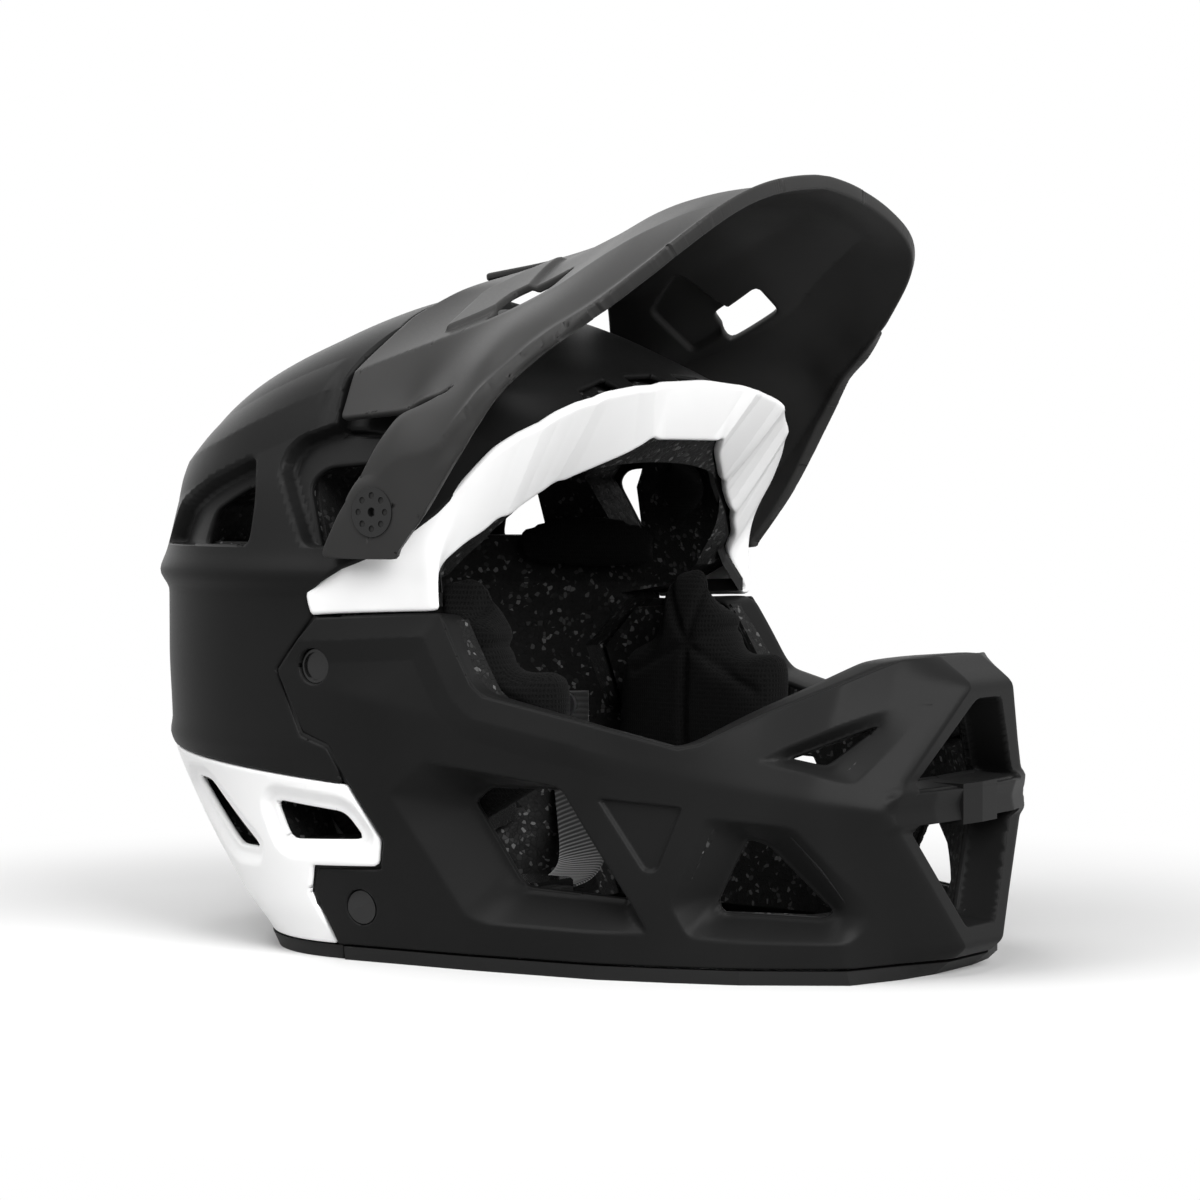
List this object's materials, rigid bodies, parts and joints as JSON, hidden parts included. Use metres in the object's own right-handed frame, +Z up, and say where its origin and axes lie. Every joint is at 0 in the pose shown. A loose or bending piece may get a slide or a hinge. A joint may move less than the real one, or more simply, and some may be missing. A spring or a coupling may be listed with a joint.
{
  "type": "full face bicycle helmet",
  "caption": "Black and white downhill bike full face helmet with vented chin bar, tilting visor, foam liner, pads and buckled strap.",
  "frame": {"origin": "on the floor under the middle of the helmet's length and width", "axes": "+Z up, the face looks along -Y, +X to the wearer's left"},
  "size_m": [0.2498, 0.3474, 0.2908],
  "materials": {
    "black_shell": "matt charcoal black, fine grain",
    "black_visor": "matt charcoal black",
    "white_shell": "satin white",
    "black_gloss": "glossy black",
    "black_screw": "satin black",
    "black_rubber": "matt black rubber",
    "speckled_foam": "black foam with grey speckles",
    "black_mesh": "black spacer mesh",
    "black_webbing": "black woven webbing",
    "steel": "brushed",
    "brass_insert": "satin",
    "black_tab": "satin black"
  },
  "bodies": {
    "helmet": {"crown_shell": "black_shell", "rear_shell": "white_shell", "brow_band": "white_shell", "chin_bar": "black_shell", "front_bar_clip": "black_gloss", "plug_upper_left": "black_gloss", "plug_upper_right": "black_gloss", "plug_lower_left": "black_shell", "plug_lower_right": "black_shell", "chin_bolt_upper_left": "steel", "chin_bolt_upper_right": "steel", "chin_bolt_lower_left": "steel", "chin_bolt_lower_right": "steel", "rear_base_trim": "black_rubber", "chin_base_trim": "black_rubber", "seam_gasket_left": "black_rubber", "seam_gasket_right": "black_rubber", "eyeport_trim": "black_rubber", "eps_crown": "speckled_foam", "eps_rear": "speckled_foam", "eps_chin": "speckled_foam", "visor_insert_left": "brass_insert", "visor_insert_right": "brass_insert", "brow_pad": "black_mesh", "occipital_pad": "black_mesh", "neck_roll": "black_mesh", "crown_pad": "black_mesh", "temple_pad_left": "black_mesh", "temple_pad_right": "black_mesh", "cheek_pad_left": "black_mesh", "cheek_pad_right": "black_mesh", "strap_left": "black_webbing", "strap_right": "black_webbing", "strap_rivet_left": "steel", "strap_rivet_right": "steel", "buckle_body": "black_gloss"},
    "visor": {"visor": "black_visor"},
    "visor_screw_left": {"visor_screw_left": "black_screw"},
    "visor_screw_right": {"visor_screw_right": "black_screw"},
    "buckle_tab": {"buckle_tab": "black_tab"}
  },
  "joints": [
    {"name": "visor_tilt", "type": "hinge", "parent": "helmet", "child": "visor", "pos_m": [0, 0.01225, 0.1666], "axis": [1, 0, 0], "range_deg": [0, 24]},
    {"name": "visor_screw_left_turn", "type": "hinge", "parent": "helmet", "child": "visor_screw_left", "pos_m": [0.1219, 0.01225, 0.1666], "axis": [1, 0, 0], "continuous": true},
    {"name": "visor_screw_right_turn", "type": "hinge", "parent": "helmet", "child": "visor_screw_right", "pos_m": [-0.1219, 0.01225, 0.1666], "axis": [1, 0, 0], "continuous": true},
    {"name": "buckle_press", "type": "slide", "parent": "helmet", "child": "buckle_tab", "axis": [0, 1, 0], "range_m": [0, 0.003], "stiffness_N_per_m": 300, "springref_m": -0.001}
  ]
}
